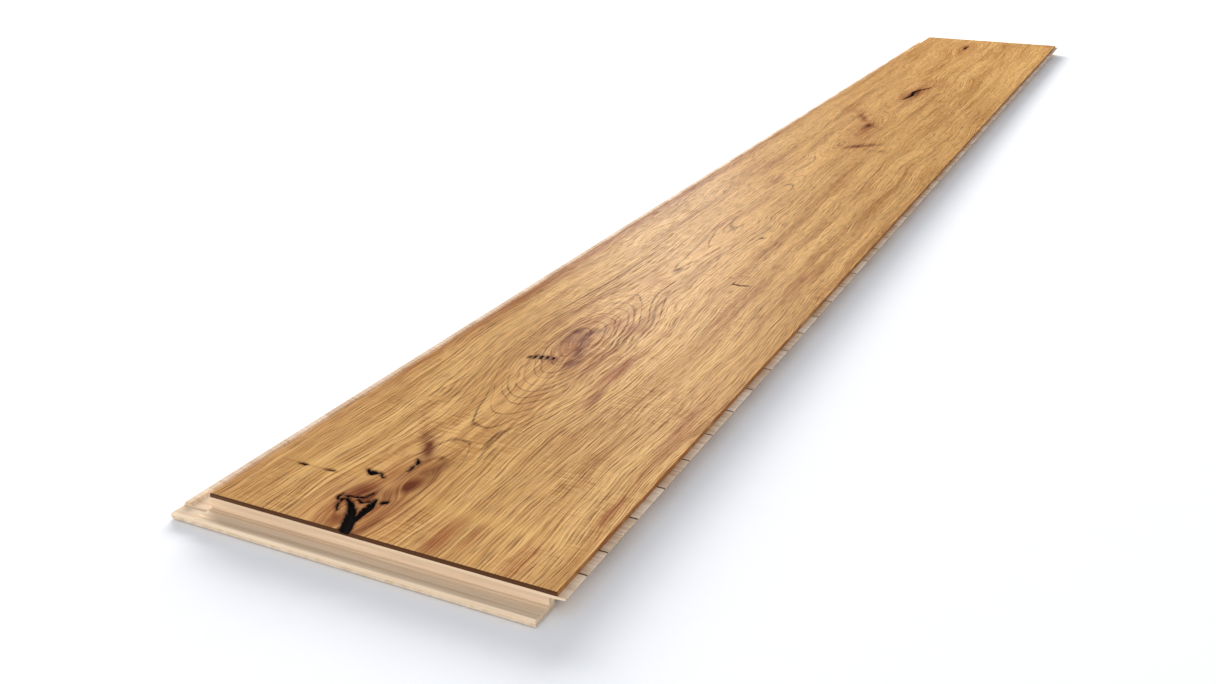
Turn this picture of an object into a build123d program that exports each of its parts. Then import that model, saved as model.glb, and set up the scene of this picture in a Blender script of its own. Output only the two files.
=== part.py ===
from build123d import *
import os

os.makedirs("parts", exist_ok=True)

# Three-layer parquet floorboard, lying face up.
# X runs across the board, Y along it and Z up. The origin is on the underside,
# below the centre of the cover face. -Y is the short end with the open locking lip,
# -X the long edge with the open locking lip and +X the long edge with the tongue.

# Cover face
cover_length = 1860.0
cover_width = 220.0
face_bevel = 0.5

# Layers, from the floor up
backing_thickness = 2.0
core_thickness = 8.5
face_thickness = 2.5

# Locking lips: both stand out of the bottom of the board
lip_thickness = 3.5

# Long edge lip
side_lip_reach = 17.0
side_ridge_start = 11.5
side_ridge_slope = 1.1
side_ridge_height = 1.5
side_tip_chamfer = 1.0

# Short end lip
end_lip_reach = 14.0
end_ridge_start = 8.5
end_ridge_slope = 2.5
end_ridge_height = 0.9
end_tip_chamfer = 0.4
end_shelf_width = 2.0
end_shelf_height = 0.4

# Left front corner: the long edge's lip runs a little past the cover face, and beyond
# it the corner is flat
side_lip_overrun = 3.1
lip_corner_thickness = 3.0

# Tongue on the right long edge, close under the oak, thinning towards its tip
tongue_reach = 4.6
tongue_tip_thickness = 1.0
tongue_root_thickness = 1.8
tongue_round = 0.3

# Below the tongue the edge stands back from the cover face
wall_inset = 4.5

# Room between a board's profile and its neighbour's
lift_play = 0.2
side_play = 0.3
lock_play = 0.2

# At the front the milling under the right edge and in the left edge stops short
front_land = 5.8

# Transverse slats of the core
saw_gap = 1.2
end_slat_cover = 22.6
first_slat_pitch = 23.6
slat_pitch = 37.3
shortest_slat = 12.0

# Derived levels
core_top = backing_thickness + core_thickness
relief_level = lip_thickness + lift_play
side_ridge_top = lip_thickness + side_ridge_height
end_ridge_top = lip_thickness + end_ridge_height
tongue_top = core_top - lift_play
tongue_tip_level = tongue_top - tongue_tip_thickness
tongue_root_level = tongue_top - tongue_root_thickness

# Derived places across the board
left_edge = -cover_width / 2
right_edge = cover_width / 2
side_lip_tip = left_edge - side_lip_reach
lower_wall = right_edge - wall_inset
tongue_tip = right_edge + tongue_reach
side_relief_end = right_edge - side_lip_reach - side_play
groove_depth = tongue_reach + side_play

# Groove for the neighbour's tongue: its floor follows the tongue's underside
tongue_slope = (tongue_tip_level - tongue_root_level) / (wall_inset + tongue_reach)
groove_mouth_level = tongue_root_level + tongue_slope * wall_inset - lift_play
groove_end_level = tongue_tip_level + tongue_slope * side_play - lift_play

# Derived places along the board
front_edge = -cover_length / 2
back_edge = cover_length / 2
end_lip_tip = front_edge - end_lip_reach
land_end = front_edge + front_land
end_relief_start = back_edge - end_lip_reach - side_play


def core_section():
    """The core's section across the board, drawn with X across and Y as height."""
    heel_end = right_edge - side_ridge_start + lock_play
    ridge_foot = left_edge - side_ridge_start
    ridge_crest = ridge_foot - side_ridge_slope
    with BuildSketch() as section:
        with BuildLine():
            Polyline(
                # left lip and its locking ridge
                (side_lip_tip, backing_thickness),
                (side_lip_tip, side_ridge_top - side_tip_chamfer),
                (side_lip_tip + side_tip_chamfer, side_ridge_top),
                (ridge_crest, side_ridge_top),
                (ridge_foot, lip_thickness),
                (left_edge, lip_thickness),
                # groove for the neighbour's tongue, roofed by the oak
                (left_edge, groove_mouth_level),
                (left_edge + groove_depth, groove_end_level),
                (left_edge + groove_depth, core_top),
                (right_edge, core_top),
                # tongue, with its tip squared here and rounded below
                (right_edge, tongue_top),
                (tongue_tip, tongue_top),
                (tongue_tip, tongue_tip_level),
                (lower_wall, tongue_root_level),
                # heel and locking groove under the right edge
                (lower_wall, relief_level),
                (heel_end, relief_level),
                (heel_end - side_ridge_slope, side_ridge_top + lift_play),
                (side_relief_end, side_ridge_top + lift_play),
                (side_relief_end, backing_thickness),
                close=True,
            )
        make_face()
        tip_corners = section.vertices().group_by(Axis.X)[-1]
        fillet(tip_corners, radius=min(tongue_round, 0.45 * tongue_tip_thickness))
    return section.sketch


def end_lip_section():
    """The front lip's section along the board, drawn with X along and Y as height."""
    ridge_foot = front_edge - end_ridge_start
    ridge_crest = ridge_foot - end_ridge_slope
    shelf_end = front_edge - end_shelf_width
    with BuildSketch() as section:
        with BuildLine():
            Polyline(
                (front_edge, backing_thickness),
                (front_edge, lip_thickness + end_shelf_height),
                (shelf_end, lip_thickness + end_shelf_height),
                (shelf_end, lip_thickness),
                (ridge_foot, lip_thickness),
                (ridge_crest, end_ridge_top),
                (end_lip_tip + end_tip_chamfer, end_ridge_top),
                (end_lip_tip, end_ridge_top - end_tip_chamfer),
                (end_lip_tip, backing_thickness),
                close=True,
            )
        make_face()
    return section.sketch


def left_lip_section():
    """The left lip alone, with its ridge, down to the backing."""
    ridge_foot = left_edge - side_ridge_start
    with BuildSketch() as section:
        with BuildLine():
            Polyline(
                (side_lip_tip, backing_thickness),
                (side_lip_tip, side_ridge_top - side_tip_chamfer),
                (side_lip_tip + side_tip_chamfer, side_ridge_top),
                (ridge_foot - side_ridge_slope, side_ridge_top),
                (ridge_foot, lip_thickness),
                (left_edge, lip_thickness),
                (left_edge, backing_thickness),
                close=True,
            )
        make_face()
    return section.sketch


def end_relief_section():
    """What is milled away under the far end, drawn with X along and Y as height."""
    heel_end = back_edge - end_ridge_start + lock_play
    with BuildSketch() as section:
        with BuildLine():
            Polyline(
                (end_relief_start, 0),
                (end_relief_start, end_ridge_top + lift_play),
                (heel_end - end_ridge_slope, end_ridge_top + lift_play),
                (heel_end, relief_level),
                (back_edge, relief_level),
                (back_edge, 0),
                close=True,
            )
        make_face()
    return section.sketch


def slat_edges():
    """Start and end of each transverse slat between the two end slats."""
    first_start = front_edge + end_slat_cover + saw_gap
    last_end = back_edge - end_slat_cover - saw_gap
    edges = []
    start = first_start
    pitch = first_slat_pitch
    while last_end - start > pitch + shortest_slat:
        edges.append((start, start + pitch - saw_gap))
        start += pitch
        pitch = slat_pitch
    edges.append((start, last_end))
    return edges


core_profile = core_section()
left_lip_profile = left_lip_section()
slat_rows = slat_edges()

# Wear layer of oak, one board with a fine bevel round its top
with BuildPart() as oak_face:
    with BuildSketch(Plane.XY.offset(core_top)):
        Rectangle(cover_width, cover_length)
    extrude(amount=face_thickness)
    chamfer(oak_face.faces().sort_by(Axis.Z)[-1].edges(), length=min(face_bevel, 0.45 * face_thickness))
oak_face.part.label = "oak_face"
export_step(oak_face.part, "parts/oak_face.step")

# Backing veneer, the bottom of both lips, stopping where the reliefs begin
with BuildPart() as backing_veneer:
    with BuildSketch():
        with BuildLine():
            Polyline(
                (side_lip_tip, end_lip_tip),
                (lower_wall, end_lip_tip),
                (lower_wall, land_end),
                (side_relief_end, land_end),
                (side_relief_end, end_relief_start),
                (side_lip_tip, end_relief_start),
                close=True,
            )
        make_face()
    extrude(amount=backing_thickness)
backing_veneer.part.label = "backing_veneer"
export_step(backing_veneer.part, "parts/backing_veneer.step")

# Front end slat, with the open lip of the short end
with BuildPart() as end_slat_front:
    with BuildSketch(Plane.XZ.offset(-front_edge)):
        add(core_profile)
    extrude(amount=-end_slat_cover)
    # the land keeps the full edge for the first few millimetres
    with BuildSketch(Plane.XZ.offset(-front_edge)):
        with Locations((lower_wall, backing_thickness)):
            Rectangle(
                lower_wall - side_relief_end,
                tongue_root_level - backing_thickness,
                align=(Align.MAX, Align.MIN),
            )
        with Locations((left_edge, groove_mouth_level)):
            Rectangle(
                groove_depth,
                core_top - groove_mouth_level,
                align=(Align.MIN, Align.MIN),
            )
    extrude(amount=-front_land)
    with BuildSketch(Plane.YZ.offset(left_edge)):
        add(end_lip_section())
    extrude(amount=lower_wall - left_edge)
    # the long edge's lip runs on a little past the cover face, then the corner is flat
    with BuildSketch(Plane.XZ.offset(-front_edge)):
        add(left_lip_profile)
    extrude(amount=side_lip_overrun)
    with BuildSketch(Plane.XY.offset(backing_thickness)):
        with Locations((side_lip_tip, end_lip_tip)):
            Rectangle(side_lip_reach, end_lip_reach, align=(Align.MIN, Align.MIN))
    extrude(amount=lip_corner_thickness - backing_thickness)
end_slat_front.part.label = "end_slat_front"
export_step(end_slat_front.part, "parts/end_slat_front.step")

# Transverse slats, each milled with the profiles of both long edges. In the left lip they
# meet, and from the cover face to the tongue the saw gap before each is open.
for number, (slat_start, slat_end) in enumerate(slat_rows, start=1):
    with BuildPart() as core_slat:
        with BuildSketch(Plane.XZ.offset(-slat_start)):
            add(core_profile)
        extrude(amount=slat_start - slat_end)
        with BuildSketch(Plane.XZ.offset(-slat_start)):
            add(left_lip_profile)
        extrude(amount=saw_gap)
    core_slat.part.label = f"core_slat_{number:02d}"
    export_step(core_slat.part, f"parts/core_slat_{number:02d}.step")

# Back end slat, relieved from below so that the next board's lip goes under it
with BuildPart() as end_slat_back:
    with BuildSketch(Plane.XZ.offset(end_slat_cover - back_edge)):
        add(core_profile)
    extrude(amount=-end_slat_cover)
    with BuildSketch(Plane.XZ.offset(end_slat_cover - back_edge)):
        add(left_lip_profile)
    extrude(amount=saw_gap)
    with BuildSketch(Plane.YZ.offset(side_lip_tip)):
        add(end_relief_section())
    extrude(amount=cover_width + side_lip_reach + tongue_reach, mode=Mode.SUBTRACT)
    # the long edge's lip stops where the relief begins
    with BuildSketch(Plane.XY.offset(backing_thickness)):
        with Locations((left_edge, end_relief_start)):
            Rectangle(side_lip_reach, back_edge - end_relief_start, align=(Align.MAX, Align.MIN))
    extrude(amount=side_ridge_top, mode=Mode.SUBTRACT)
end_slat_back.part.label = "end_slat_back"
export_step(end_slat_back.part, "parts/end_slat_back.step")
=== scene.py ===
import math

import bpy
import numpy as np
from mathutils import Matrix, Vector


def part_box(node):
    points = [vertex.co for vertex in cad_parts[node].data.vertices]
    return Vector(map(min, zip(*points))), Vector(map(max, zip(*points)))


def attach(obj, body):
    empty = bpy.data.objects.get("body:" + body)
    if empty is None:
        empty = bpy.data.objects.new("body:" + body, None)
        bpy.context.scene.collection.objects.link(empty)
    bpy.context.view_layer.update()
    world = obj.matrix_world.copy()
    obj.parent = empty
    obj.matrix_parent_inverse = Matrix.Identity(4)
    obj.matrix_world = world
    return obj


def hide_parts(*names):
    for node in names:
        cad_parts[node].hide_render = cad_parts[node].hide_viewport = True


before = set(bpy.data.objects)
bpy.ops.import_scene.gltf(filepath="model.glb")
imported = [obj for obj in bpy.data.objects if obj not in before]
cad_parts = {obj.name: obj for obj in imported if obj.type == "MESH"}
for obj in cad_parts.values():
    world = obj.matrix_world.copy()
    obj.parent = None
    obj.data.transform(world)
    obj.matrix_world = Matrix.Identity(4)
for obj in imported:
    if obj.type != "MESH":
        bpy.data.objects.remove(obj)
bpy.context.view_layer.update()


def srgb(red, green, blue):
    """A colour given as it looks on screen, from 0 to 255, as linear light."""
    def linear(value):
        value /= 255.0
        return value / 12.92 if value <= 0.04045 else ((value + 0.055) / 1.055) ** 2.4
    return (linear(red), linear(green), linear(blue), 1.0)


# The oak face as the frame gives it. Places on it are in millimetres from its left front
# corner, x across the board and y along it.
MM = 0.001
face_low, face_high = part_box("oak_face")
face_width = (face_high.x - face_low.x) / MM
face_length = (face_high.y - face_low.y) / MM
face_thickness = (face_high.z - face_low.z) / MM
bevel = 0.5

# Camera, as recovered from the corners of the oak face
photo_width = 1216
focal_pixels = 1221.8
sensor_mm = 36.0
eye_place = (460.0, -442.5, 342.0)
look_down = 22.63
look_left = 25.71
look_tilt = 0.24

# Floor and surroundings
floor_size = 30.0
floor_drop = 0.0005
floor_greys = (0.93, 0.93, 0.93, 1.0), (0.95, 0.95, 0.95, 1.0)
sky_colour = (0.95, 0.98, 1.05, 1.0)
sky_strength = 0.62

# Oak colours: the plain wood from dark to light, and the even tone it is drawn towards
light_oak = srgb(240, 192, 124)
dark_oak = srgb(164, 108, 54)
mid_oak = srgb(212, 158, 92)
mid_share = 0.25
# What lies over it: the colour, and how much of it where it is strongest
ring_brown, ring_share = srgb(108, 64, 32), 0.85
pore_brown, pore_share = srgb(100, 60, 28), 0.60
# golden tone of paler wood, also used for a painted highlight where glare falls on the face
golden_tone_and_glare, golden_tone_and_glare_share = srgb(232, 184, 108), 0.4
red_brown, red_share = srgb(148, 76, 38), 0.85
purple_brown, purple_share = srgb(98, 38, 22), 0.9
crack_rim, rim_share = srgb(96, 52, 34), 0.6
crack_black = srgb(24, 17, 14)
edge_orange = srgb(160, 92, 38)
front_browns = srgb(98, 58, 30), srgb(70, 42, 26)

# Depths of the dark stain on the front end and of the orange edges, in millimetres
front_stain = 0.6
edge_stain = 0.75
# Darkened rim round a crack, in millimetres
rim_width = 2.6
# Oiled oak: its roughness, more in the pores and in the cracks, its shine and its relief
oak_roughness = 0.34
pore_roughness = 0.2
crack_roughness = 0.5
oak_specular = 0.3
oak_relief = {"bump_mm": 0.16, "strength": 0.7}

# Softwood colours, light and dark, and the painted shade on the slats' sides that face along the
# board, standing in for the shade in the gaps between them
slat_tints = [
    (srgb(238, 214, 186), srgb(208, 176, 144)),
    (srgb(232, 206, 174), srgb(200, 166, 132)),
    (srgb(242, 220, 194), srgb(214, 184, 152)),
    (srgb(228, 200, 168), srgb(196, 160, 126)),
]
# painted shade: the colour put on the slats' sides in the gaps between them, where shade falls
painted_gap_shade = srgb(84, 62, 46)
end_slat_tint = srgb(245, 221, 190), srgb(216, 187, 154)
backing_tint = srgb(230, 210, 182), srgb(204, 178, 148)
softwood_roughness = 0.62
softwood_relief = {"bump_mm": 0.08, "strength": 0.6}

# Sway of the fibres across the board, slow and quicker, and of the rings' distance from the
# pith, each from side to side in millimetres
wander_reach = 26.0
waver_reach = 7.0
jitter_reach = 5.0
# How much of the quicker sway the stains follow
stain_sway = 0.4
# Weights of the broad, middle and fine streaks in the wood's tone
broad_part = 1.0
streak_part = 0.8
fine_part = 1.5

# Growth rings: the pith line runs along the board, and its depth below the face changes
ring_pitch = 2.7
pith_across = 88.0
pith_depth = 25.0
# Early wood as a share of the ring: straight above the pith, and how much more far beside it
early_share = 0.20
early_share_beside = 0.30
# Changes of the pith's depth: from this place to that along the board, by this much
pith_changes = [
    (84.0, 126.0, 2.5),
    (128.0, 286.0, -26.5),
    (292.0, 404.0, 19.0),
    (420.0, 700.0, -9.0),
    (720.0, 860.0, 10.0),
    (880.0, 975.0, -13.0),
    (978.0, 1030.0, 8.0),
    (1032.0, 1086.0, -10.0),
    (1090.0, 1190.0, 12.0),
    (1200.0, 1318.0, -17.0),
    (1322.0, 1480.0, 20.0),
    (1600.0, 1762.0, -19.0),
    (1766.0, 1870.0, 14.0),
]
# Knots the fibres run round: x, y, radius across, length to width
knots = [
    (84.0, 22.0, 17.0, 1.5),
    (96.0, 66.0, 6.0, 2.6),
    (76.0, 94.0, 6.0, 2.4),
    (88.0, 286.0, 19.0, 1.9),
    (112.0, 977.0, 9.0, 1.8),
    (90.0, 1084.0, 8.0, 2.4),
    (95.0, 1318.0, 12.0, 3.6),
    (84.0, 1760.0, 11.0, 2.6),
]

# Open cracks and black knots: points (x, y, half width), and how deep the crack goes
cracks = [
    # front knot, which runs out through the front end
    ([(92.5, -1.0, 3.3), (90.0, 6.0, 3.2), (86.5, 13.0, 2.8), (82.5, 20.0, 2.2), (77.0, 26.0, 1.5),
      (72.0, 30.0, 0.6)], 1.9),
    ([(89.5, 6.0, 2.4), (89.6, 16.0, 2.0), (89.6, 26.0, 2.2), (87.6, 34.0, 1.3)], 1.7),
    ([(72.5, 29.5, 0.6), (68.5, 26.5, 0.7), (66.5, 29.0, 0.4), (67.5, 33.0, 0.3)], 1.0),
    ([(70.5, 27.0, 0.5), (71.5, 21.5, 0.5), (75.0, 16.5, 0.3)], 0.9),
    ([(70.0, 31.5, 0.5), (75.5, 32.5, 0.6), (80.5, 34.0, 0.8), (82.5, 40.0, 0.3)], 0.9),
    ([(79.0, 31.0, 0.4), (82.5, 28.5, 0.5), (85.5, 32.0, 0.7)], 0.9),
    ([(93.2, 33.6, 1.3), (94.4, 34.8, 1.4)], 1.0),
    # spots behind it
    ([(62.8, 62.0, 0.4), (65.5, 60.5, 1.5), (68.0, 59.0, 1.9), (70.5, 60.5, 0.8)], 1.3),
    ([(68.0, 61.0, 0.8), (72.0, 61.5, 0.4), (77.0, 57.5, 0.2)], 0.8),
    ([(84.9, 70.5, 0.2), (84.6, 74.5, 0.7), (84.4, 77.0, 0.3)], 0.8),
    ([(84.6, 79.0, 0.6), (84.8, 81.5, 1.0), (82.0, 84.5, 0.3)], 0.9),
    # open dashes of the fine split across the board
    ([(22.5, 50.4, 0.45), (26.5, 50.6, 0.45)], 0.7),
    ([(42.0, 51.4, 0.4), (46.0, 51.5, 0.4)], 0.7),
    # short marks beside the second knot
    ([(66.5, 249.0, 0.6), (66.0, 246.0, 0.3)], 0.6),
    ([(70.0, 252.0, 0.8), (70.2, 246.5, 0.4)], 0.6),
    ([(74.0, 252.5, 0.8), (74.5, 248.0, 0.5)], 0.6),
    ([(78.0, 253.5, 0.8), (78.5, 249.5, 0.4)], 0.6),
    ([(82.5, 254.0, 0.6), (83.0, 251.0, 0.3)], 0.6),
    # small split and dot in the plain stretch
    ([(143.0, 453.5, 0.2), (149.0, 452.5, 0.6), (155.0, 454.5, 0.2)], 0.6),
    ([(122.5, 580.5, 0.7), (124.0, 583.0, 0.5)], 0.5),
    # long black knot
    ([(89.0, 1268.0, 0.4), (92.0, 1286.0, 1.1), (95.0, 1306.0, 2.2), (92.0, 1330.0, 1.9)], 1.5),
    ([(92.0, 1330.0, 1.9), (96.0, 1348.0, 1.4), (103.0, 1362.0, 1.2), (107.0, 1376.0, 0.4)], 1.2),
    # far knot
    ([(84.5, 1748.0, 0.5), (83.0, 1766.0, 1.4), (85.0, 1780.0, 0.4)], 1.0),
]

# Raggedness of the cracks' edges from side to side, in millimetres
ragged_across = 3.0
ragged_along = 3.4
# Cut of the cracks: reach of the cut in half widths, the narrowest half width that is cut,
# steepness of the walls, and how far the bevel's foot follows a crack that runs out
cut_reach = 1.15
cut_least = 0.5
cut_steepness = 1.8
rim_follows = 0.6

# Steps of the oak's mesh, and closer ones round the cracks: from, to, step
step_across = 2.6
step_along = 8.0
shortest_step = 0.3
close_across = [(56.0, 116.0, 0.95)]
close_along = [
    (0.0, 92.0, 1.0),
    (240.0, 262.0, 1.2),
    (298.0, 312.0, 1.2),
    (448.0, 460.0, 1.2),
    (955.0, 992.0, 1.5),
    (1068.0, 1112.0, 1.5),
    (1262.0, 1382.0, 1.6),
    (1716.0, 1786.0, 1.6),
]

# Soft marks in the oak: x, y, half width, half length, slant in degrees, strength
red_stains = [
    (84.0, 24.0, 22.0, 36.0, -4.0, 1.00),
    (82.0, 62.0, 16.0, 28.0, 0.0, 0.60),
    (32.0, 51.0, 26.0, 0.9, 0.6, 0.70),
    (60.0, 126.0, 4.0, 26.0, -32.0, 0.35),
    (141.0, 14.0, 6.0, 26.0, -4.0, 0.85),
    (157.0, 26.0, 4.0, 16.0, 0.0, 0.55),
    (191.0, 14.0, 7.0, 22.0, 0.0, 0.55),
    (26.0, 16.0, 10.0, 14.0, 0.0, 0.25),
    (86.0, 285.0, 16.0, 42.0, -8.0, 0.80),
    (104.0, 328.0, 9.0, 13.0, -30.0, 0.75),
    (90.0, 334.0, 8.0, 9.0, 0.0, 0.50),
    (122.0, 328.0, 18.0, 8.0, 0.0, 0.40),
    (110.0, 256.0, 12.0, 32.0, 0.0, 0.50),
    (133.0, 252.0, 6.5, 38.0, 0.0, 0.95),
    (137.0, 208.0, 5.0, 20.0, -8.0, 0.80),
    (206.0, 196.0, 6.0, 56.0, -2.0, 0.65),
    (210.0, 80.0, 3.0, 16.0, 0.0, 0.70),
    (192.0, 490.0, 6.0, 44.0, 3.0, 0.60),
    (76.0, 608.0, 3.0, 24.0, 0.0, 0.60),
    (83.0, 434.0, 12.0, 12.0, 0.0, 0.35),
    (84.0, 690.0, 3.5, 64.0, 2.0, 0.60),
    (66.0, 786.0, 10.0, 24.0, -10.0, 0.70),
    (40.0, 850.0, 30.0, 30.0, -20.0, 0.35),
    (112.0, 976.0, 12.0, 26.0, 34.0, 0.70),
    (137.0, 958.0, 3.0, 8.0, 0.0, 0.70),
    (92.0, 1064.0, 13.0, 60.0, -2.0, 0.65),
    (74.0, 1124.0, 7.0, 40.0, -22.0, 0.75),
    (52.0, 1168.0, 18.0, 26.0, -30.0, 0.50),
    (97.0, 1318.0, 15.0, 74.0, 3.0, 0.85),
    (76.0, 1331.0, 9.0, 4.0, 0.0, 0.60),
    (139.0, 1282.0, 14.0, 5.0, 0.0, 0.45),
    (84.0, 1752.0, 8.0, 60.0, -2.0, 0.70),
    (140.0, 1816.0, 2.5, 26.0, 0.0, 0.60),
    (207.0, 1852.0, 9.0, 22.0, 0.0, 0.75),
    (2.0, 560.0, 5.5, 460.0, 0.0, 0.85),
    (4.0, 110.0, 4.5, 150.0, 0.0, 0.55),
]
purple_stains = [
    (95.5, 55.0, 6.0, 14.0, 10.0, 1.00),
    (97.0, 78.0, 6.0, 18.0, 0.0, 0.50),
    (80.0, 99.0, 4.5, 18.0, -28.0, 1.00),
    (73.0, 108.0, 4.0, 14.0, -36.0, 0.65),
    (82.0, 39.0, 16.0, 10.0, 0.0, 0.85),
    (80.0, 12.0, 4.0, 12.0, 20.0, 0.45),
    (100.0, 14.0, 4.0, 14.0, 0.0, 0.45),
    (86.5, 308.0, 3.8, 14.0, 24.0, 0.95),
    (87.0, 291.0, 3.8, 13.0, -24.0, 0.95),
    (95.5, 269.0, 4.2, 16.0, -19.0, 0.90),
    (98.5, 250.0, 4.5, 11.0, 10.0, 0.90),
    (75.0, 304.0, 5.5, 7.0, 0.0, 0.85),
    (77.0, 290.0, 6.0, 12.0, -20.0, 0.55),
    (84.0, 250.0, 12.0, 5.0, 0.0, 0.50),
    (139.0, 208.0, 2.5, 14.0, -6.0, 0.45),
    (111.0, 975.0, 5.0, 24.0, 46.0, 0.95),
    (132.0, 958.0, 14.0, 4.0, 0.0, 0.50),
    (90.0, 1086.0, 4.5, 20.0, 0.0, 1.00),
    (96.0, 1082.0, 10.0, 5.0, 0.0, 0.60),
    (70.0, 1132.0, 3.0, 26.0, -24.0, 0.50),
    (95.0, 1312.0, 7.0, 54.0, 2.0, 0.75),
    (83.0, 1762.0, 4.0, 24.0, -4.0, 0.85),
]
# Where the dark rings stand out most
bold_areas = [
    (50.0, 440.0, 20.0, 120.0, 0.0, 1.0),
    (90.0, 320.0, 60.0, 80.0, 0.0, 0.8),
    (110.0, 160.0, 60.0, 60.0, 0.0, 0.5),
    (84.0, 470.0, 30.0, 120.0, 0.0, 0.6),
    (86.0, 700.0, 20.0, 100.0, 0.0, 0.6),
]
# Paler golden areas in the wood: x, y, half width, half length, slant, strength; the one at x 170,
# y 300 is a painted highlight standing in for glare on the face
pale_and_glare_areas = [
    (150.0, 44.0, 60.0, 7.0, 4.0, 0.90),
    (44.0, 56.0, 34.0, 8.0, -4.0, 0.70),
    (120.0, 96.0, 24.0, 30.0, 0.0, 0.35),
    (170.0, 300.0, 40.0, 60.0, 0.0, 0.60),
    (30.0, 470.0, 26.0, 140.0, 0.0, 0.35),
    (150.0, 1000.0, 60.0, 120.0, 0.0, 0.30),
    (190.0, 1600.0, 30.0, 240.0, 0.0, 0.50),
]


def board_point(x, y, z=0.0):
    """A place on the oak face, in metres in the row frame; z is above the face."""
    return Vector((face_low.x + x * MM, face_low.y + y * MM, face_high.z + z * MM))


class Graph:
    """A node tree, built from sockets and plain numbers."""

    def __init__(self, tree):
        self.tree = tree

    def put(self, socket, value):
        """Links a socket or sets its plain value."""
        if isinstance(value, bpy.types.NodeSocket):
            self.tree.links.new(value, socket)
        else:
            socket.default_value = value

    def math(self, operation, a, b=0.0, c=0.0, clamp=False):
        node = self.tree.nodes.new("ShaderNodeMath")
        node.operation = operation
        node.use_clamp = clamp
        for socket, value in zip(node.inputs, (a, b, c)):
            self.put(socket, value)
        return node.outputs[0]

    def add(self, a, b):
        return self.math("ADD", a, b)

    def sub(self, a, b):
        return self.math("SUBTRACT", a, b)

    def mul(self, a, b):
        return self.math("MULTIPLY", a, b)

    def vector_math(self, operation, a, b, result="Vector"):
        """A sum on two vectors, or on a vector and the number that scales it."""
        node = self.tree.nodes.new("ShaderNodeVectorMath")
        node.operation = operation
        self.put(node.inputs[0], a)
        self.put(node.inputs["Scale" if operation == "SCALE" else 1], b)
        return node.outputs[result]

    def vector(self, x, y, z=0.0):
        node = self.tree.nodes.new("ShaderNodeCombineXYZ")
        for socket, value in zip(node.inputs, (x, y, z)):
            self.put(socket, value)
        return node.outputs[0]

    def smooth(self, value, low, high, out_low=0.0, out_high=1.0):
        """A smooth step from out_low to out_high as value goes from low to high."""
        node = self.tree.nodes.new("ShaderNodeMapRange")
        node.interpolation_type = "SMOOTHSTEP"
        for name, given in (("Value", value), ("From Min", low), ("From Max", high),
                            ("To Min", out_low), ("To Max", out_high)):
            self.put(node.inputs[name], given)
        return node.outputs["Result"]

    def grain(self, x, y, seed, per_x, per_y, detail=2.0, rough=0.5):
        """Noise from 0 to 1, with per_x and per_y features to a millimetre."""
        node = self.tree.nodes.new("ShaderNodeTexNoise")
        self.put(node.inputs["Vector"], self.vector(self.mul(x, per_x), self.mul(y, per_y), seed))
        node.inputs["Scale"].default_value = 1.0
        node.inputs["Detail"].default_value = detail
        node.inputs["Roughness"].default_value = rough
        return node.outputs["Fac"]

    def sway(self, x, y, seed, per_x, per_y, reach):
        """The same noise as a change to either side, half of reach at most."""
        return self.mul(self.sub(self.grain(x, y, seed, per_x, per_y), 0.5), reach)

    def mix(self, factor, a, b):
        node = self.tree.nodes.new("ShaderNodeMix")
        node.data_type = "RGBA"
        self.put(node.inputs["Factor"], factor)
        for socket, value in ((node.inputs[6], a), (node.inputs[7], b)):
            self.put(socket, value)
        return node.outputs[2]


class Material(Graph):
    """A material's node tree, with its one shader."""

    def __init__(self, name):
        self.material = bpy.data.materials.new(name)
        self.material.use_nodes = True
        super().__init__(self.material.node_tree)
        self.tree.nodes.clear()
        self.shader = self.tree.nodes.new("ShaderNodeBsdfPrincipled")
        output = self.tree.nodes.new("ShaderNodeOutputMaterial")
        self.put(output.inputs["Surface"], self.shader.outputs["BSDF"])

    def place(self):
        """The point's place in the row frame, as x, y and z in millimetres."""
        where = self.tree.nodes.new("ShaderNodeTexCoord")
        split = self.tree.nodes.new("ShaderNodeSeparateXYZ")
        self.put(split.inputs[0], where.outputs["Object"])
        return [self.mul(split.outputs[k], 1.0 / MM) for k in range(3)]

    def finish(self, colour, roughness, height, bump_mm, strength):
        self.put(self.shader.inputs["Base Color"], colour)
        self.put(self.shader.inputs["Roughness"], roughness)
        node = self.tree.nodes.new("ShaderNodeBump")
        node.inputs["Strength"].default_value = strength
        node.inputs["Distance"].default_value = bump_mm * MM
        self.put(node.inputs["Height"], height)
        self.put(self.shader.inputs["Normal"], node.outputs[0])
        return self.material


def crack_group():
    """Node group: how far a point is from a tapering stretch of crack, below 0 inside it."""
    tree = bpy.data.node_groups.new("crack_stretch", "ShaderNodeTree")
    for kind, names in (("NodeSocketVector", ("Point", "Start", "Along")),
                        ("NodeSocketFloat", ("Per length", "Width", "Taper"))):
        for name in names:
            tree.interface.new_socket(name, in_out="INPUT", socket_type=kind)
    tree.interface.new_socket("Gap", in_out="OUTPUT", socket_type="NodeSocketFloat")
    graph = Graph(tree)
    given = tree.nodes.new("NodeGroupInput").outputs
    result = tree.nodes.new("NodeGroupOutput").inputs
    offset = graph.vector_math("SUBTRACT", given["Point"], given["Start"])
    dot = graph.vector_math("DOT_PRODUCT", offset, given["Along"], "Value")
    share = graph.math("MULTIPLY", dot, given["Per length"], clamp=True)
    reached = graph.vector_math("SCALE", given["Along"], share)
    away = graph.vector_math("DISTANCE", offset, reached, "Value")
    width = graph.math("MULTIPLY_ADD", share, given["Taper"], given["Width"])
    graph.put(result["Gap"], graph.sub(away, width))
    return tree


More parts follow.
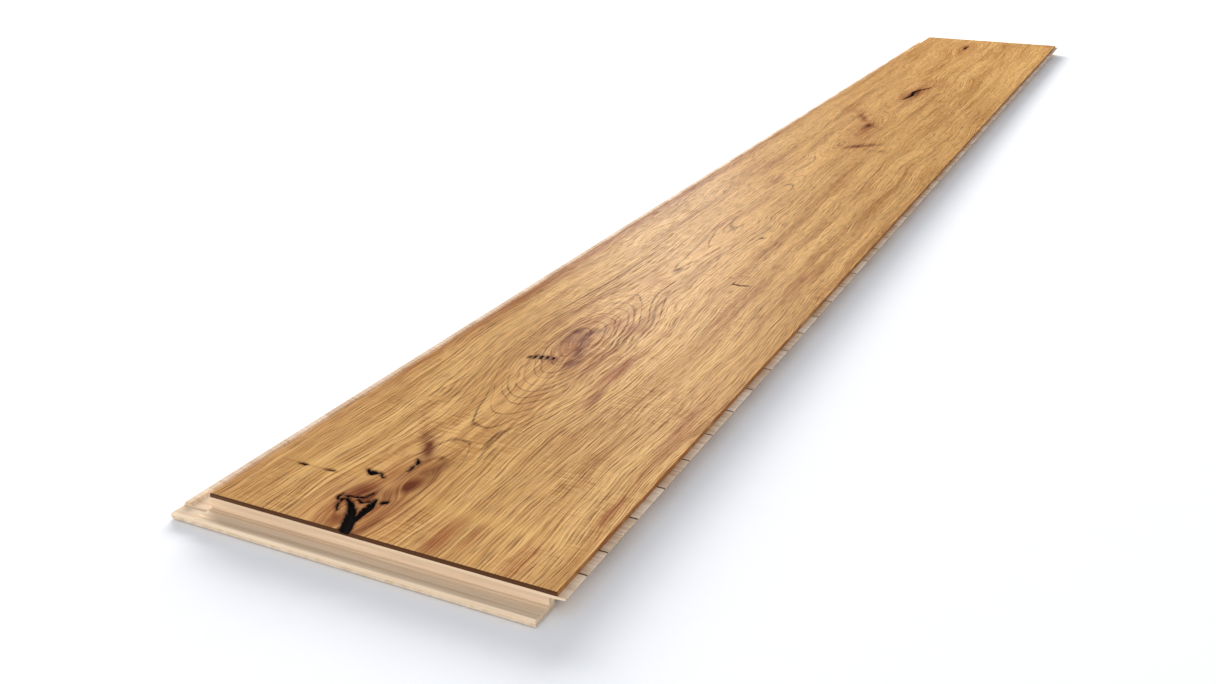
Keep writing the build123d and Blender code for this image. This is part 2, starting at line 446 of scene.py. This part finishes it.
def crack_gap(graph, x, y):
    """Distance to the nearest crack's edge in millimetres, below 0 inside it."""
    group = crack_group()
    ragged_x = graph.add(x, graph.sway(x, y, 3.0, 0.35, 0.35, ragged_across))
    ragged_y = graph.add(y, graph.sway(x, y, 9.0, 0.3, 0.3, ragged_along))
    point = graph.vector(ragged_x, ragged_y)
    nearest = None
    for points, _depth in cracks:
        for start, end in zip(points, points[1:]):
            along = Vector((end[0] - start[0], end[1] - start[1], 0.0))
            node = graph.tree.nodes.new("ShaderNodeGroup")
            node.node_tree = group
            graph.put(node.inputs["Point"], point)
            node.inputs["Start"].default_value = (start[0], start[1], 0.0)
            node.inputs["Along"].default_value = along
            node.inputs["Per length"].default_value = 1.0 / along.length_squared
            node.inputs["Width"].default_value = start[2]
            node.inputs["Taper"].default_value = end[2] - start[2]
            gap = node.outputs["Gap"]
            nearest = gap if nearest is None else graph.math("MINIMUM", nearest, gap)
    return nearest


def stain(graph, x, y, spot):
    """A soft slanted oval, 1 times its strength in the middle."""
    at_x, at_y, half_width, half_length, slant, strength = spot
    cosine, sine = math.cos(math.radians(slant)), math.sin(math.radians(slant))
    dx, dy = graph.sub(x, at_x), graph.sub(y, at_y)
    across = graph.sub(graph.mul(dx, cosine / half_width), graph.mul(dy, sine / half_width))
    along = graph.add(graph.mul(dx, sine / half_length), graph.mul(dy, cosine / half_length))
    squared = graph.add(graph.mul(across, across), graph.mul(along, along))
    return graph.mul(graph.math("EXPONENT", graph.mul(squared, -1.0)), strength)


def marks(graph, x, y, spots):
    """The strongest of some soft slanted ovals."""
    strongest = None
    for spot in spots:
        one = stain(graph, x, y, spot)
        strongest = one if strongest is None else graph.math("MAXIMUM", strongest, one)
    return strongest


def fibre_place(graph, x, y, waver):
    """The place across the board that a fibre has come from: it wanders, and runs round knots."""
    wander = graph.sway(x, y, 1.0, 0.010, 0.0040, wander_reach)
    bent_x = graph.add(graph.add(x, wander), waver)
    for at_x, at_y, size, longer in knots:
        dx, dy = graph.sub(x, at_x), graph.mul(graph.sub(y, at_y), 1.0 / longer)
        squared = graph.add(graph.add(graph.mul(dx, dx), graph.mul(dy, dy)), size * size * 1.1)
        bent_x = graph.sub(bent_x, graph.math("DIVIDE", graph.mul(dx, size * size), squared))
    return bent_x


def pith_distance(graph, across, y):
    """Distance from the pith line, which runs along the board below the face."""
    pith = pith_depth
    for start, end, change in pith_changes:
        pith = graph.add(graph.smooth(y, start, end, 0.0, change), pith)
    return graph.math("SQRT", graph.add(graph.mul(across, across), graph.mul(pith, pith)))


def oak_material():
    graph = Material("rustic_oak")
    add, sub, mul, grain = graph.add, graph.sub, graph.mul, graph.grain
    place_x, place_y, _place_z = graph.place()
    x = sub(place_x, face_low.x / MM)
    y = sub(place_y, face_low.y / MM)

    # growth rings, cut by the face; early is 1 in each ring's open early wood
    waver = graph.sway(x, y, 2.0, 0.045, 0.017, waver_reach)
    bent_x = fibre_place(graph, x, y, waver)
    across = sub(bent_x, pith_across)
    radius = pith_distance(graph, across, y)
    side = mul(across, 0.04)
    jitter = graph.sway(radius, y, add(side, 4.0), 0.30, 0.0030, jitter_reach)
    share = graph.math("FRACT", mul(add(radius, jitter), 1.0 / ring_pitch))
    steep = graph.math("DIVIDE", graph.math("ABSOLUTE", across), radius)
    early_end = add(mul(steep, early_share_beside), early_share)
    early = mul(graph.smooth(share, 0.0, 0.08), graph.smooth(share, early_end, 0.10))

    # pores as dark dashes along the fibres, most of them in the early wood
    dashes = grain(bent_x, y, 17.0, 1.3, 0.05, detail=1.0, rough=0.6)
    ring_noise = grain(radius, y, add(side, 5.0), 0.12, 0.0035)
    ring_strength = graph.smooth(ring_noise, 0.32, 0.60, 0.35, 1.0)
    bold = add(mul(marks(graph, x, y, bold_areas), 0.6), 0.7)
    broken_ring = graph.smooth(dashes, 0.30, 0.62, 0.5, 1.0)
    ring_line = mul(mul(mul(early, ring_strength), bold), broken_ring)
    pore_dash = mul(graph.smooth(dashes, 0.50, 0.62), graph.smooth(early, 0.0, 1.0, 0.55, 0.9))

    # streaks along the grain, from broad to fine, and ripples across it in places
    broad = grain(radius, y, add(side, 7.0), 0.075, 0.0022)
    streak = grain(bent_x, y, 11.0, 0.22, 0.0045)
    fine = grain(bent_x, y, 13.0, 0.95, 0.012, rough=0.6)
    ripple = grain(x, y, 23.0, 0.1, 0.42, detail=1.0)
    ripple_area = graph.smooth(grain(x, y, 29.0, 0.018, 0.012), 0.44, 0.66)
    tone = mul(sub(broad, 0.5), broad_part)
    tone = add(tone, add(mul(sub(streak, 0.5), streak_part), mul(sub(fine, 0.5), fine_part)))
    tone = add(tone, mul(ripple_area, sub(ripple, 0.5)))

    # plain wood, rings, pores and golden areas, one of them a painted highlight standing in for
    # glare
    colour = graph.mix(graph.smooth(tone, -0.5, 0.40), dark_oak, light_oak)
    colour = graph.mix(mid_share, colour, mid_oak)
    colour = graph.mix(mul(ring_line, ring_share), colour, ring_brown)
    colour = graph.mix(mul(pore_dash, pore_share), colour, pore_brown)
    colour = graph.mix(mul(marks(graph, x, y, pale_and_glare_areas), golden_tone_and_glare_share), colour, golden_tone_and_glare)

    # stains, broken up by the grain
    broken = graph.smooth(add(mul(streak, 0.7), mul(fine, 0.7)), 0.5, 0.95, 1.3, 0.4)
    stain_x = add(x, mul(waver, stain_sway))
    red = graph.math("MULTIPLY", marks(graph, stain_x, y, red_stains), broken, clamp=True)
    colour = graph.mix(mul(red, red_share), colour, red_brown)
    purple = graph.math("MULTIPLY", marks(graph, stain_x, y, purple_stains), broken, clamp=True)
    colour = graph.mix(mul(purple, purple_share), colour, purple_brown)

    # cracks and black knots
    gap = crack_gap(graph, x, y)
    colour = graph.mix(mul(graph.smooth(gap, rim_width, 0.2), rim_share), colour, crack_rim)
    black = graph.smooth(gap, 0.4, -0.2)
    colour = graph.mix(black, colour, crack_black)

    # the sides: stained dark at the front end, orange-brown along the edges
    front = graph.smooth(y, front_stain, 0.3)
    edge = graph.smooth(graph.math("MINIMUM", x, sub(face_width, x)), edge_stain, 0.2)
    uneven = grain(y, y, 41.0, 0.11, 0.013)
    colour = graph.mix(mul(edge, graph.smooth(uneven, 0.25, 0.6, 0.5, 0.9)), colour, edge_orange)
    colour = graph.mix(front, colour, graph.mix(uneven, *front_browns))

    height = sub(mul(tone, 0.4), add(mul(pore_dash, 0.7), mul(ring_line, 0.7)))
    roughness = add(mul(pore_dash, pore_roughness), mul(black, crack_roughness))
    roughness = add(oak_roughness, roughness)
    graph.shader.inputs["Specular IOR Level"].default_value = oak_specular
    return graph.finish(colour, roughness, height, **oak_relief)


def raw_wood(name, seed, tint, along="X", ring_scale=0.5, gap_shade=None):
    """Milled unfinished softwood with its grain along one axis, and maybe painted shade on its
    sides that face along y, for the shade in the gaps between slats.
    """
    graph = Material(name)
    add, mul, grain = graph.add, graph.mul, graph.grain
    light, dark = tint
    x, y, z = graph.place()
    long, side = (x, y) if along == "X" else (y, x)
    slant = add(side, mul(grain(long, side, seed, 0.006, 0.02), 9.0))
    ring_seed = add(mul(long, 0.002), seed)
    rings = grain(slant, z, ring_seed, ring_scale, ring_scale * 0.9, detail=3.0, rough=0.55)
    fibre = grain(side, z, add(mul(long, 0.03), seed), 2.6, 2.6)
    tone = add(mul(rings, 0.75), mul(fibre, 0.35))
    colour = graph.mix(graph.smooth(tone, 0.35, 0.75), dark, light)
    # painted shade on the sides facing along y, where the gaps between the slats lie in shade
    if gap_shade:
        geometry = graph.tree.nodes.new("ShaderNodeNewGeometry")
        normal = graph.tree.nodes.new("ShaderNodeSeparateXYZ")
        graph.put(normal.inputs[0], geometry.outputs["True Normal"])
        facing = graph.math("ABSOLUTE", normal.outputs[1])
        colour = graph.mix(graph.smooth(facing, 0.8, 0.95, 0.0, 0.9), colour, gap_shade)
    height = add(mul(fibre, 0.5), mul(rings, 0.5))
    return graph.finish(colour, softwood_roughness, height, **softwood_relief)


def spread_lines(length, coarse, windows):
    """Grid lines from 0 to length, coarse apart, and closer inside each (low, high, step)."""
    tiny = 1e-6
    lines = [0.0]
    while lines[-1] < length - tiny:
        at = lines[-1]
        steps = [step for low, high, step in windows if low <= at + tiny < high]
        step = min(steps) if steps else coarse
        ahead = [low for low, high, _step in windows if at + tiny < low < at + step]
        lines.append(min([at + step, length] + ahead))
    if lines[-1] - lines[-2] < shortest_step:
        del lines[-2]
    return np.array(lines)


def crack_depth(x, y):
    """How deep the face is cut at each point, in millimetres."""
    deep = np.zeros_like(x)
    for points, bottom in cracks:
        for (x0, y0, w0), (x1, y1, w1) in zip(points, points[1:]):
            dx, dy = x1 - x0, y1 - y0
            share = np.clip(((x - x0) * dx + (y - y0) * dy) / (dx * dx + dy * dy), 0.0, 1.0)
            away = np.hypot(x - x0 - share * dx, y - y0 - share * dy)
            width = w0 + share * (w1 - w0)
            inside = np.clip(cut_reach - away / np.maximum(width, cut_least), 0.0, 1.0)
            deep = np.maximum(deep, bottom * np.minimum(inside * cut_steepness, 1.0))
    return deep


def oak_board():
    """The wear layer as a closed mesh, with its cracks cut into the top."""
    inner_x = spread_lines(face_width - 2 * bevel, step_across, close_across) + bevel
    inner_y = spread_lines(face_length - 2 * bevel, step_along, close_along) + bevel
    grid_x, grid_y = np.meshgrid(inner_x, inner_y, indexing="ij")
    top_z = -crack_depth(grid_x, grid_y)
    across, along = grid_x.shape
    number = np.arange(across * along).reshape(across, along)
    corners = [np.stack([grid_x.ravel(), grid_y.ravel(), top_z.ravel()], 1)]
    squares = [number[:-1, :-1], number[1:, :-1], number[1:, 1:], number[:-1, 1:]]
    faces = np.stack(squares, -1).reshape(-1, 4).tolist()

    # the rim of the grid, once round, counter-clockwise from above
    rim = np.concatenate([number[:, 0], number[-1, 1:], number[-2::-1, -1], number[0, -2:0:-1]])
    rim_points = corners[0][rim]
    outer = rim_points.copy()
    for k, size in enumerate((face_width, face_length)):
        outer[np.isclose(rim_points[:, k], bevel), k] = 0.0
        outer[np.isclose(rim_points[:, k], size - bevel), k] = size

    # below it the foot of the bevel, which follows the cracks, and the edge of the underside
    start = across * along
    loops = [rim]
    for drop, follows in ((bevel, rim_follows), (face_thickness, 0.0)):
        ring = outer.copy()
        ring[:, 2] = ring[:, 2] * follows - drop
        corners.append(ring)
        loops.append(np.arange(start, start + len(ring)))
        start += len(ring)
    for upper, lower in zip(loops, loops[1:]):
        following_upper, following_lower = np.roll(upper, -1), np.roll(lower, -1)
        faces += np.stack([upper, lower, following_lower, following_upper], 1).tolist()

    # the underside, in strips from the left edge to the right
    base = loops[-1].tolist()
    front = base[:across]
    right = base[across - 1:across + along - 1]
    back = base[across + along - 2:2 * across + along - 2]
    left = base[:1] + base[2 * across + along - 3:][::-1]
    faces.append([left[1], right[1]] + front[::-1])
    for k in range(1, along - 2):
        faces.append([left[k], left[k + 1], right[k + 1], right[k]])
    faces.append([right[-2], left[-2]] + back[::-1])

    mesh = bpy.data.meshes.new("oak_board")
    mesh.from_pydata([board_point(*p) for p in np.concatenate(corners)], [], faces)
    mesh.validate()
    mesh.update()
    piece = bpy.data.objects.new("oak_board", mesh)
    bpy.context.scene.collection.objects.link(piece)
    return piece


def add_camera():
    data = bpy.data.cameras.new("camera")
    data.sensor_width = sensor_mm
    data.lens = focal_pixels / photo_width * sensor_mm
    data.clip_end = 100.0
    camera = bpy.data.objects.new("camera", data)
    camera.location = board_point(*eye_place)
    turn = Matrix.Rotation(math.radians(look_left), 3, "Z")
    turn @= Matrix.Rotation(math.radians(90.0 - look_down), 3, "X")
    turn @= Matrix.Rotation(math.radians(look_tilt), 3, "Z")
    camera.rotation_euler = turn.to_euler()
    bpy.context.scene.collection.objects.link(camera)
    bpy.context.scene.camera = camera


def add_floor():
    bpy.ops.mesh.primitive_plane_add(size=floor_size, location=(0.0, 0.0, -floor_drop))
    floor = bpy.context.object
    floor.name = "floor"
    graph = Material("pale_floor")
    x, y, _z = graph.place()
    grain = graph.grain(x, y, 0.0, 0.05, 0.05)
    colour = graph.mix(grain, *floor_greys)
    floor.data.materials.append(graph.finish(colour, 0.9, grain, bump_mm=0.01, strength=0.1))


def add_light(name, place, target, size, watts, diffuse=True, glossy=True):
    """An oblong lamp; place and target are in millimetres on the board, size is in metres."""
    data = bpy.data.lights.new(name, "AREA")
    data.shape = "RECTANGLE"
    data.size, data.size_y = size
    data.energy = watts
    light = bpy.data.objects.new(name, data)
    light.location = board_point(*place)
    aim = board_point(*target) - light.location
    light.rotation_euler = aim.to_track_quat("-Z", "Y").to_euler()
    light.visible_diffuse = diffuse
    light.visible_glossy = glossy
    bpy.context.scene.collection.objects.link(light)


def add_lights():
    """Soft studio light: its shine on the oak comes from the glare lamp alone."""
    world = bpy.data.worlds.new("studio")
    world.use_nodes = True
    background = world.node_tree.nodes["Background"]
    background.inputs["Color"].default_value = sky_colour
    background.inputs["Strength"].default_value = sky_strength
    world.cycles_visibility.glossy = False
    bpy.context.scene.world = world
    add_light("softbox_behind", place=(-2900.0, 4450.0, 1150.0), target=(110.0, 500.0, 0.0),
              size=(4.8, 1.2), watts=720.0, glossy=False)
    add_light("glare", place=(-1000.0, 2900.0, 860.0), target=(40.0, 520.0, 0.0),
              size=(0.5, 0.9), watts=4.0, diffuse=False)
    add_light("fill_in_front", place=(500.0, -2600.0, 450.0), target=(110.0, 100.0, 0.0),
              size=(1.6, 0.8), watts=30.0, glossy=False)


def dress(nodes, material):
    """Gives some of the frame's own nodes one material, under one slot's name."""
    for node in nodes:
        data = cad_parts[node].data
        data.materials.clear()
        data.materials.append(material)


add_camera()
oak = oak_board()
oak.data.materials.append(oak_material())
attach(oak, "root")
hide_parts("oak_face")

slat_nodes = sorted(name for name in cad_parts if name.startswith("core_slat"))
for k, tint in enumerate(slat_tints):
    # each slat gets painted shade on its sides in the gaps between slats
    wood = raw_wood(f"core_softwood_{k + 1}", 31.0 + 7.0 * k, tint, gap_shade=painted_gap_shade)
    dress(slat_nodes[k::len(slat_tints)], wood)
end_wood = raw_wood("end_slat_wood", 5.0, end_slat_tint, ring_scale=0.35)
dress(["end_slat_front", "end_slat_back"], end_wood)
backing = raw_wood("backing_wood", 71.0, backing_tint, along="Y", ring_scale=0.2)
dress(["backing_veneer"], backing)

add_floor()
add_lights()
bpy.context.scene.view_settings.view_transform = "Standard"
